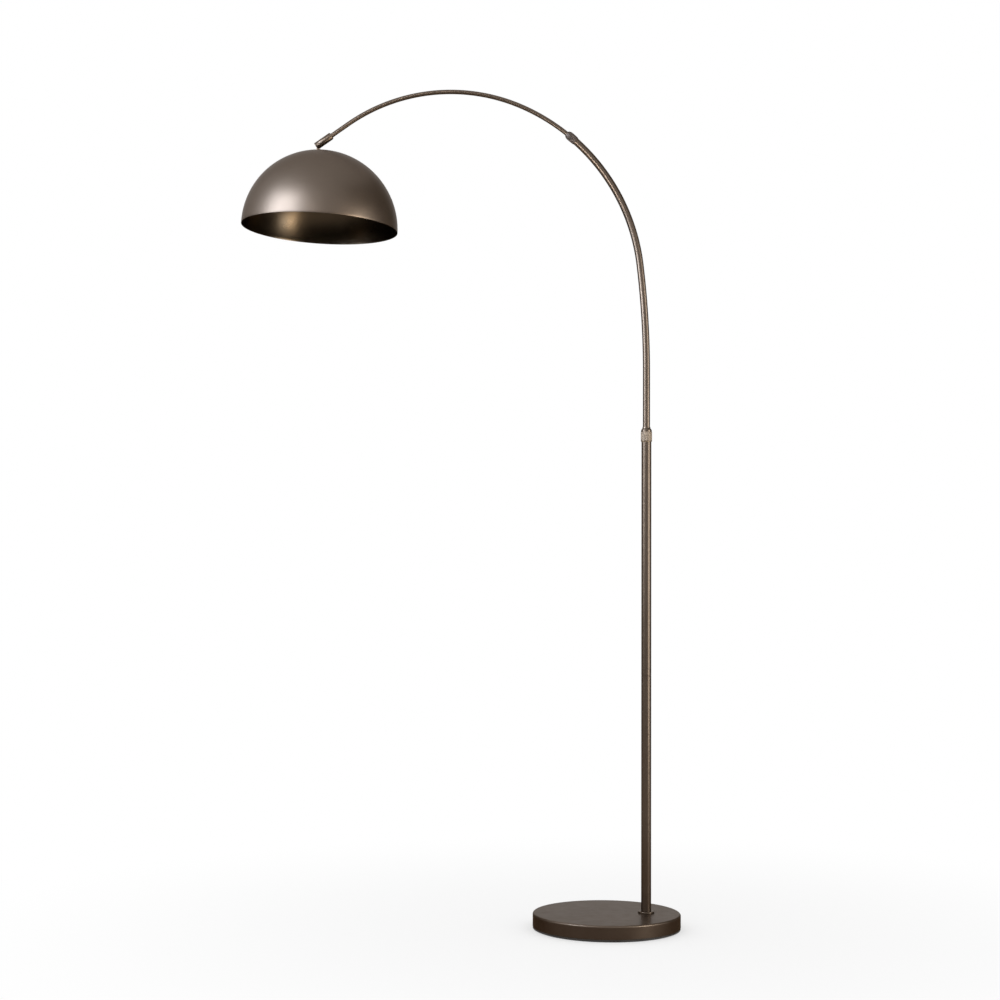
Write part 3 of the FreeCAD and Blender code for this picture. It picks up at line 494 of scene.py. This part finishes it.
def drill(radius, low, high):         # a cutting rod along -Y, from low to high in millimetres
    bpy.ops.object.select_all(action="DESELECT")
    bpy.ops.mesh.primitive_cylinder_add(
        vertices=rodSides, radius=radius * mm, depth=(high - low) * mm,
        location=(0, -(high + low) / 2 * mm, 0), rotation=(math.pi / 2, 0, 0))
    settled()
    return bpy.context.object


def choosePoints(piece, test):        # in edit mode, selects the points that pass a test of their place
    mesh = bmesh.from_edit_mesh(piece.data)
    for point in mesh.verts:
        point.select = test(point.co)
    mesh.select_flush_mode()
    bmesh.update_edit_mesh(piece.data)


def knurled(piece, nut, low, high):   # for each knurl, one line of the nut's outer points is pressed in
    only(piece)
    settled()
    bpy.ops.object.mode_set(mode="EDIT")
    lines = nut["knurls"] * knurlLines

    def pressed(place):
        line = round(math.atan2(place.y, place.x) / math.tau * lines)
        outside = math.hypot(place.x, place.y) > (nut["radius"] - skinDepth) * mm
        return outside and line % knurlLines == 0 and low * mm < place.z < high * mm

    choosePoints(piece, pressed)
    shrink = (nut["radius"] - nut["depth"]) / nut["radius"]
    bpy.ops.transform.resize(value=(shrink, shrink, 1), center_override=(0, 0, 0))
    bpy.ops.mesh.select_all(action="DESELECT")
    bpy.ops.object.mode_set(mode="OBJECT")


def handOver(piece, body, slot, look, *nodes):
    piece.data.materials.clear()
    piece.data.materials.append(finishes[look])
    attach(piece, body)
    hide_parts(*nodes)


# the base: a pressed cover over its weight, and the ring round the pole's foot
cover = {"radius": 162.5, "top": 35, "low": 6, "edge": 4, "wall": 1.5, "rings": (60, 120), "ease": 0.6,
         "hem": 0.8, "soften": 0.3, "sharp": 40, "edgeSteps": 9, "sides": 256}
inlet = {"turn": 60, "rise": 14, "hole": 4.5, "reach": 6}
rim = (cover["radius"], cover["top"] - cover["edge"])
flat = cover["radius"] - cover["edge"]
outline = [(radius, cover["top"]) for radius in (0, *cover["rings"], flat - cover["ease"], flat)]
outline += bend(outline[-1], rim, cover["edge"], -1, cover["edgeSteps"])
outline += [(cover["radius"], rim[1] - cover["ease"]), (cover["radius"], cover["low"] + cover["hem"]),
            (cover["radius"], cover["low"])]
baseCover = turned("baseCover", outline, cover["sides"])
walled(baseCover, cover["wall"])
inletRod = drill(inlet["hole"], cover["radius"] - inlet["reach"], cover["radius"] + inlet["reach"])
inletRod.matrix_world = (
    Matrix.Translation((0, 0, inlet["rise"] * mm))
    @ Matrix.Rotation(math.radians(inlet["turn"] + 90), 4, "Z")      # the rod starts out along -Y
)
joinedBy(baseCover, inletRod)
rounded(baseCover, cover["soften"], cover["sharp"])
smooth(baseCover)
seated(baseCover)
handOver(baseCover, "base", "bronze_base", "bronzeBase", "base_cover")

footRing = {"bore": 11.1, "radius": 18, "height": 3.5, "round": 1.2, "edge": 0.3, "lip": 0.4, "rest": 35,
            "roundSteps": 6, "sides": 96}
outline = [
    (footRing["bore"], 0), (footRing["radius"] - footRing["edge"], 0), (footRing["radius"], footRing["edge"]),
    (footRing["radius"], footRing["height"] - footRing["round"]),
]
outline += bend(outline[-1], (footRing["radius"] - footRing["round"], footRing["height"]),
                footRing["round"], 1, footRing["roundSteps"])
outline += [(footRing["bore"] + footRing["lip"], footRing["height"]),
            (footRing["bore"], footRing["height"] - footRing["lip"]), (footRing["bore"], 0)]
poleFoot = turned("poleFoot", outline, footRing["sides"])
smooth(poleFoot)
seated(poleFoot, upright @ Matrix.Translation((0, 0, footRing["rest"] * mm)))
handOver(poleFoot, "base", "bronze_base", "bronzeFitting", "foot_ring")
print("base made")


# the pole: two sections that meet in a fine seam, and the lock on top
pole = {"radius": 11, "wall": 1.5, "foot": 35, "length": 519, "chamfer": 0.5, "rows": 8, "sides": 96,
        "crease": 28}
bore = pole["radius"] - pole["wall"]
edge = pole["chamfer"]
high = pole["length"]
for name, node, low, chamfers in (    # the chamfers are the lower and the upper end's
    ("poleLower", "pole_lower", pole["foot"], (0, edge)),
    ("poleUpper", "pole_upper", pole["foot"] + pole["length"], (edge, 0)),
):
    outline = [(bore, 0), (pole["radius"] - chamfers[0], 0), (pole["radius"], chamfers[0])]
    outline += [(pole["radius"], high * row / pole["rows"]) for row in range(1, pole["rows"])]
    outline += [(pole["radius"], high - chamfers[1]), (pole["radius"] - chamfers[1], high), (bore, high),
                (bore, 0)]
    section = turned(name, outline, pole["sides"])
    smooth(section, pole["crease"])
    seated(section, upright @ Matrix.Translation((0, 0, low * mm)))
    handOver(section, "base", "bronze_tube", "bronzeTube", node)

poleNut = {"bore": 10.32, "foot": 11.4, "radius": 12.5, "low": 0.3, "taper": 3, "high": 23, "edge": 0.25,
           "knurls": 36, "depth": 0.35, "margin": 0.6, "ramp": 0.5, "crease": 20}
start = poleNut["low"] + poleNut["taper"]
outline = [
    (poleNut["bore"], poleNut["low"]), (poleNut["foot"], poleNut["low"]), (poleNut["radius"], start),
    (poleNut["radius"], start + poleNut["margin"]),
    (poleNut["radius"], start + poleNut["margin"] + poleNut["ramp"]),
    (poleNut["radius"], poleNut["high"] - poleNut["margin"] - poleNut["ramp"]),
    (poleNut["radius"], poleNut["high"] - poleNut["margin"]),
    (poleNut["radius"], poleNut["high"] - poleNut["edge"]),
    (poleNut["radius"] - poleNut["edge"], poleNut["high"]),
    (poleNut["bore"], poleNut["high"]), (poleNut["bore"], poleNut["low"]),
]
lockNut = turned("poleNut", outline, poleNut["knurls"] * knurlLines)
knurled(lockNut, poleNut, start + poleNut["margin"] + poleNut["ramp"] / 2,
        poleNut["high"] - poleNut["margin"] - poleNut["ramp"] / 2)
smooth(lockNut, poleNut["crease"])
seated(lockNut, Matrix.Translation(poleTop))
handOver(lockNut, "pole_nut", "matte_nut", "matteNut", "pole_lock_nut")

poleCap = {"bore": 8.3, "skirtBore": 10.32, "skirt": 0.6, "radius": 11.9, "low": 23, "straight": 2.2,
           "shoulder": 6.8, "round": 5, "roundSteps": 10, "neck": 9.6, "hollow": 12, "hollowSteps": 6,
           "lip": 8.7, "length": 11, "sides": 96, "crease": 40}
outline = [(poleCap["skirtBore"], poleCap["low"]), (poleCap["radius"], poleCap["low"]),
           (poleCap["radius"], poleCap["low"] + poleCap["straight"])]
outline += bend(outline[-1], (poleCap["neck"], poleCap["low"] + poleCap["shoulder"]), poleCap["round"], 1,
                poleCap["roundSteps"])
outline += bend(outline[-1], (poleCap["lip"], poleCap["low"] + poleCap["length"]), poleCap["hollow"], -1,
                poleCap["hollowSteps"])
outline += [(poleCap["bore"], poleCap["low"] + poleCap["length"]),
            (poleCap["bore"], poleCap["low"] + poleCap["skirt"]),
            (poleCap["skirtBore"], poleCap["low"] + poleCap["skirt"]), (poleCap["skirtBore"], poleCap["low"])]
bell = turned("poleCap", outline, poleCap["sides"])
smooth(bell, poleCap["crease"])
seated(bell, Matrix.Translation(poleTop))
handOver(bell, "pole_nut", "bronze_fitting", "bronzeFitting", "pole_nut_cap")
print("pole made")


# the bow: a thick tube and a thin one that slides in it along the crown's arc, and the lock between them
bow = {"outer": 8, "outerWall": 1, "outerSides": 64, "inner": 5, "innerWall": 0.8, "innerSides": 56,
       "tail": 203, "straight": 157, "riseRadius": 2016, "riseTurn": 6.9, "riseSteps": 10,
       "crownRadius": 449.5, "collarTurn": 42.2, "collarSteps": 44, "crownEnd": 65.7, "crownSteps": 50,
       "innerTail": 28.6, "reachRadius": 398.5, "reachTurn": 59.9, "reachSteps": 56, "reachStraight": 70.1}


def along(length, heading):           # draws the selected ring straight on
    turn = math.radians(heading)
    step = (math.cos(turn) * length * mm, 0, math.sin(turn) * length * mm)
    bpy.ops.mesh.extrude_edges_move(TRANSFORM_OT_translate={"value": step})


def around(centre, degrees, steps):   # swings the selected ring up and over to the left
    bpy.ops.mesh.spin(steps=steps, angle=math.radians(degrees), center=centre, axis=(0, 1, 0))


def fromCrown(degrees, distance):     # a place in the arm's plane, at an angle up from the right
    turn = math.radians(degrees)
    return crown + Vector((math.cos(turn), 0, math.sin(turn))) * distance * mm


outerBow = startRing("outerBow", bow["outer"] * mm, bow["outerSides"],
                     poleTop - Vector((0, 0, bow["tail"] * mm)))
along(bow["tail"], 90)
along(bow["straight"], 90)
riseCentre = poleTop + Vector((-bow["riseRadius"], 0, bow["straight"])) * mm
around(riseCentre, bow["riseTurn"], bow["riseSteps"])
around(crown, bow["collarTurn"], bow["collarSteps"])
closeUp()
walled(outerBow, bow["outerWall"])
smooth(outerBow)
seated(outerBow)
handOver(outerBow, "outer_arm", "bronze_tube", "bronzeTube", "bow_outer")

innerBow = startRing("innerBow", bow["inner"] * mm, bow["innerSides"],
                     fromCrown(bow["innerTail"], bow["crownRadius"]), (0, -math.radians(bow["innerTail"]), 0))
around(crown, bow["crownEnd"] - bow["innerTail"], bow["crownSteps"])
reachCentre = fromCrown(bow["crownEnd"], bow["crownRadius"] - bow["reachRadius"])
around(reachCentre, bow["reachTurn"], bow["reachSteps"])
heading = bow["crownEnd"] + bow["reachTurn"]
along(bow["reachStraight"], heading + 90)
closeUp()
walled(innerBow, bow["innerWall"])
smooth(innerBow)
seated(innerBow)
handOver(innerBow, "inner_arm", "bronze_tube", "bronzeTube", "bow_inner")

armNut = {"bore": 8.32, "back": -9, "foot": 9, "radius": 9.6, "front": 17, "round": 9, "nose": 3.2,
          "curve": 14.3, "curveSteps": 12, "noseBore": 5.75, "floor": 12.3, "knurls": 36, "depth": 0.35,
          "margin": 0.6, "edge": 0.3, "lip": 0.2, "crease": 20}
shoulder = armNut["front"] - armNut["round"]
outline = [(armNut["bore"], armNut["back"]), (armNut["foot"] - armNut["edge"], armNut["back"]),
           (armNut["foot"], armNut["back"] + armNut["edge"]),
           (armNut["radius"], 0), (armNut["radius"], armNut["margin"]),
           (armNut["radius"], shoulder - armNut["margin"]), (armNut["radius"], shoulder)]
outline += bend(outline[-1], (armNut["radius"] - armNut["nose"], armNut["front"]), armNut["curve"], 1,
                armNut["curveSteps"])
outline += [(armNut["noseBore"] + armNut["lip"], armNut["front"]),
            (armNut["noseBore"], armNut["front"] - armNut["lip"]), (armNut["noseBore"], armNut["floor"]),
            (armNut["bore"], armNut["floor"]), (armNut["bore"], armNut["back"])]
collarNut = turned("armNut", outline, armNut["knurls"] * knurlLines)
knurled(collarNut, armNut, -armNut["margin"], shoulder + armNut["margin"] / 2)
smooth(collarNut, armNut["crease"])
seated(collarNut, leaning(collar, -(bow["riseTurn"] + bow["collarTurn"])))
# the arm's nut takes the darker copy of the nut finish, painted shade
handOver(collarNut, "arm_nut", "matte_nut", "armNutPaintedShade", "arm_lock_nut")
print("bow made")


# the knuckle: a slotted fork on the thin tube's end, its screw, and the shade's tongue between its cheeks
fork = {"radius": 8.3, "tip": -6, "length": 36.7, "slot": 5, "slotDepth": 8, "reach": 12, "socket": 5,
        "socketFloor": 12.7, "chamfer": 1.5, "edge": 0.5, "seat": 6.8, "headSeat": 3.7, "nutSeat": 4.05,
        "pin": 2, "soften": 0.3, "sharp": 40, "crease": 30, "sides": 96}
outline = [(0, fork["tip"]), (fork["radius"] - fork["edge"], fork["tip"]),
           (fork["radius"], fork["tip"] + fork["edge"]), (fork["radius"], fork["length"] - fork["chamfer"]),
           (fork["radius"] - fork["chamfer"], fork["length"]), (fork["socket"], fork["length"]),
           (fork["socket"], fork["socketFloor"]), (0, fork["socketFloor"])]
knuckle = turned("knuckleFork", outline, fork["sides"])
seated(knuckle)
half = fork["slot"] / 2
reach = fork["reach"]
joinedBy(knuckle, block((-reach, -half, fork["tip"] - 1), (reach, half, fork["slotDepth"])))
joinedBy(knuckle, drill(fork["pin"], -reach, reach))
joinedBy(knuckle, drill(fork["headSeat"], fork["seat"], reach))
joinedBy(knuckle, drill(fork["nutSeat"], -reach, -fork["seat"]))
rounded(knuckle, fork["soften"], fork["sharp"])
smooth(knuckle, fork["crease"])
seated(knuckle, leaning(pivot, 180 - heading))
handOver(knuckle, "inner_arm", "bronze_fitting", "bronzeFitting", "knuckle_fork")

screw = {"pin": 2, "end": -9, "edge": 0.3, "head": 3.4, "seat": 6.8, "side": 7.8, "flat": 2.6, "top": 8.4,
         "round": 1.2, "roundSteps": 5, "slot": 0.9, "slotDepth": 0.8, "slotReach": 5, "slotTop": 12,
         "sides": 64, "crease": 30}
outline = [(0, screw["end"]), (screw["pin"] - screw["edge"], screw["end"]),
           (screw["pin"], screw["end"] + screw["edge"]), (screw["pin"], screw["seat"]),
           (screw["head"], screw["seat"]), (screw["head"], screw["side"])]
outline += bend(outline[-1], (screw["flat"], screw["top"]), screw["round"], 1, screw["roundSteps"])
outline += [(0, screw["top"])]
pin = turned("pivotScrew", outline, screw["sides"])
seated(pin)
joinedBy(pin, block((-screw["slotReach"], -screw["slot"] / 2, screw["top"] - screw["slotDepth"]),
                    (screw["slotReach"], screw["slot"] / 2, screw["slotTop"])))
smooth(pin, screw["crease"])
seated(pin, Matrix.Translation(pivot) @ Matrix.Rotation(math.pi / 2, 4, "X"))
handOver(pin, "inner_arm", "bronze_fitting", "bronzeFitting", "pivot_screw")

shadeLean = -1.5      # how the shade hangs at rest, in degrees
shadeFrame = leaning(pivot, shadeLean)
tongue = {"eye": 5.6, "neck": 8, "thick": 4.4, "foot": -12.2, "soften": 0.5, "sharp": 40, "boss": 6.5,
          "bossLow": -13.5, "bossHigh": -10.9, "bossEdge": 0.6, "pin": 2.05, "reach": 6, "sides": 64,
          "crease": 30}
plate = startRing("knuckleTongue", tongue["eye"] * mm, tongue["sides"], turn=(math.pi / 2, 0, 0))
bpy.ops.mesh.edge_face_add()
bpy.ops.object.mode_set(mode="OBJECT")
only(plate)
settled()
bpy.ops.object.mode_set(mode="EDIT")
choosePoints(plate, lambda place: abs(place.x) < tongue["neck"] / 2 * mm and place.z < 0)
bpy.ops.transform.resize(value=(1, 1, 0), center_override=(0, 0, 0))
bpy.ops.transform.translate(value=(0, 0, tongue["foot"] * mm))
bpy.ops.mesh.select_all(action="SELECT")
bpy.ops.transform.translate(value=(0, -tongue["thick"] / 2 * mm, 0))
bpy.ops.mesh.extrude_region_move(TRANSFORM_OT_translate={"value": (0, tongue["thick"] * mm, 0)})
closeUp()
rounded(plate, tongue["soften"], tongue["sharp"])
boss = turned("boss", [
    (0, tongue["bossLow"]), (tongue["boss"], tongue["bossLow"]),
    (tongue["boss"], tongue["bossHigh"] - tongue["bossEdge"]),
    (tongue["boss"] - tongue["bossEdge"], tongue["bossHigh"]), (0, tongue["bossHigh"]),
], tongue["sides"])
seated(boss)
joinedBy(plate, boss, "UNION")
joinedBy(plate, drill(tongue["pin"], -tongue["reach"], tongue["reach"]))
smooth(plate, tongue["crease"])
seated(plate, shadeFrame)
handOver(plate, "shade", "bronze_fitting", "bronzeFitting", "knuckle_tongue")
print("knuckle made")


# the shade: the dome, the cap on top of it, the lamp holder and the bulb
dome = {"radius": 175, "wall": 1, "apex": 15.5, "hole": 5.3, "holeReach": 10, "rimLean": 3.9, "rings": 60,
        "sides": 192, "soften": 0.3, "sharp": 50, "crease": 35}
centre = -(dome["apex"] + dome["radius"])
domeFrame = shadeFrame @ leaning((0, 0, centre * mm), dome["rimLean"])     # square to the shade's mouth


def domePoint(radius, degrees):       # on the dome, at an angle down from its top
    turn = math.radians(degrees)
    return (radius * math.sin(turn), radius * math.cos(turn))


inside = dome["radius"] - dome["wall"]
outline = [domePoint(dome["radius"], 90 * ring / dome["rings"]) for ring in range(dome["rings"] + 1)]
outline += [domePoint(inside, 90 - 90 * ring / dome["rings"]) for ring in range(dome["rings"] + 1)]
shadeShell = turned("shadeShell", outline, dome["sides"])
rounded(shadeShell, dome["soften"], dome["sharp"])
stemRod = drill(dome["hole"], dome["radius"] - dome["holeReach"], dome["radius"] + dome["holeReach"])
upwards = Matrix.Rotation(-math.pi / 2, 4, "X")
stemRod.matrix_world = Matrix.Rotation(math.radians(-dome["rimLean"]), 4, "Y") @ upwards
joinedBy(shadeShell, stemRod)
smooth(shadeShell, dome["crease"])
seated(shadeShell, domeFrame)
handOver(shadeShell, "shade", "bronze_shade", "bronzeShade", "shade_dome")
# the inward faces take the darker copy of the bronze, painted shade inside the dome
shadeShell.data.materials.append(finishes["domeInsidePaintedShade"])
middle = shadeFrame @ Vector((0, 0, centre * mm))
for face in shadeShell.data.polygons:
    inward = (face.center - middle).dot(face.normal) < 0
    face.material_index = 1 if inward else 0

topCap = {"radius": 13.5, "high": -13.5, "edge": 0.7, "shoulder": 0.2, "drop": 0.25, "waist": 9, "bore": 5,
          "sides": 96, "crease": 28}
outline = [(topCap["bore"], topCap["high"]), (topCap["radius"] - topCap["edge"], topCap["high"]),
           (topCap["radius"] - topCap["shoulder"], topCap["high"] - topCap["drop"]),
           (topCap["radius"], topCap["high"] - topCap["edge"])]
for radius in (topCap["radius"], topCap["waist"], topCap["bore"]):    # its underside lies on the dome
    outline.append((radius, centre + math.sqrt(dome["radius"] ** 2 - radius ** 2)))
outline.append(outline[0])
capDisc = turned("shadeTopCap", outline, topCap["sides"])
smooth(capDisc, topCap["crease"])
seated(capDisc, shadeFrame)
handOver(capDisc, "shade", "bronze_fitting", "bronzeFitting", "top_cap")

holder = {"neck": 9, "radius": 20, "top": -21.1, "round": 10, "curve": 12, "curveSteps": 10, "rim": -37.1,
          "mouth": -69.1, "bore": 13.8, "floor": -41.1, "stem": 5, "wall": 2.2, "neckWall": 1.1, "edge": 0.3,
          "lip": 1, "boreLip": 0.5, "sides": 96, "capCrease": 35, "crease": 28}
inner = holder["radius"] - holder["wall"]
outline = [(holder["stem"], holder["top"]), (holder["neck"], holder["top"])]
outline += bend(outline[-1], (holder["radius"], holder["top"] - holder["round"]), holder["curve"], -1,
                holder["curveSteps"])
outline += [(holder["radius"], holder["rim"] + holder["edge"]),
            (holder["radius"] - holder["edge"], holder["rim"]), (inner, holder["rim"]),
            (inner, holder["top"] - holder["round"]),
            (holder["neck"] - holder["neckWall"], holder["top"] - holder["wall"]),
            (holder["stem"], holder["top"] - holder["wall"]), (holder["stem"], holder["top"])]
holderCap = turned("holderCap", outline, holder["sides"])
smooth(holderCap, holder["capCrease"])
seated(holderCap, shadeFrame)
handOver(holderCap, "shade", "black_plastic", "blackPlastic", "holder_cap")

grip = {"count": 5, "start": 5, "pitch": 4.4, "depth": 0.6, "floorEnd": 1.8, "width": 2.4}     # its ribs
outline = [(0, holder["rim"]), (holder["radius"] - holder["edge"], holder["rim"]),
           (holder["radius"], holder["rim"] - holder["edge"])]
for ridge in range(grip["count"]):
    low = holder["rim"] - grip["start"] - ridge * grip["pitch"]
    outline += [(holder["radius"], low), (holder["radius"] - grip["depth"], low - grip["depth"]),
                (holder["radius"] - grip["depth"], low - grip["floorEnd"]),
                (holder["radius"], low - grip["width"])]
outline += [(holder["radius"], holder["mouth"] + holder["lip"]),
            (holder["radius"] - holder["lip"], holder["mouth"]),
            (holder["bore"] + holder["boreLip"], holder["mouth"]),
            (holder["bore"], holder["mouth"] + holder["boreLip"]), (holder["bore"], holder["floor"]),
            (0, holder["floor"])]
holderSkirt = turned("holderSkirt", outline, holder["sides"])
smooth(holderSkirt, holder["crease"])
seated(holderSkirt, shadeFrame)
handOver(holderSkirt, "shade", "black_plastic", "blackPlastic", "holder_body")

bulb = {"neck": 13, "shoulder": -67.6, "neckEnd": -73.6, "radius": 30, "middle": -117.6, "waist": 35,
        "curve": 60, "wall": 1, "neckSteps": 10, "globeSteps": 26, "skinSteps": 20, "skinNeckSteps": 8,
        "sides": 72, "crease": 40}
waist = math.radians(bulb["waist"])
skin = bulb["radius"] - bulb["wall"]
throat = bulb["neck"] - bulb["wall"]


def waistPoint(radius):               # where the globe goes over into its neck
    return (radius * math.cos(waist), bulb["middle"] + radius * math.sin(waist))


outline = [(throat, bulb["shoulder"]), (bulb["neck"], bulb["shoulder"]), (bulb["neck"], bulb["neckEnd"])]
outline += bend(outline[-1], waistPoint(bulb["radius"]), bulb["curve"], 1, bulb["neckSteps"])
outline += bend(outline[-1], (tip, bulb["middle"] - bulb["radius"]), bulb["radius"], -1, bulb["globeSteps"])
outline += [(tip, bulb["middle"] - skin)]
outline += bend(outline[-1], waistPoint(skin), skin, 1, bulb["skinSteps"])
outline += bend(outline[-1], (throat, bulb["neckEnd"]), bulb["curve"] + bulb["wall"], -1,
                bulb["skinNeckSteps"])
outline += [outline[0]]
globe = turned("bulbGlobe", outline, bulb["sides"])
smooth(globe, bulb["crease"])
seated(globe, shadeFrame)
handOver(globe, "shade", "bulb_glass", "bulbGlass", "bulb_globe")
print("shade made")


# these pieces keep the CAD's shape and only get a finish
kept = {
    "felt": ("base_pad",),
    "castIron": ("base_weight",),
    "blackPlastic": ("cord_inlet",),
    "zincSteel": ("foot_stud", "foot_washer", "foot_nut", "pole_coupler", "inner_washer", "shade_stem",
                  "stem_nut"),
    "innerBrass": ("pole_lock_ring", "holder_contact"),
    "nylon": ("pole_collet", "leg_guide", "arm_collet", "arm_guide", "shim_front", "shim_rear"),
    "bronzeFitting": ("pivot_nut", "arm_lock_ring"),
    "bulbMetal": ("bulb_cap",),
}
for look, nodes in kept.items():
    for node in nodes:
        mesh = frame["nodes"][node].data
        mesh.materials.clear()
        mesh.materials.append(finishes[look])
print("kept pieces finished")
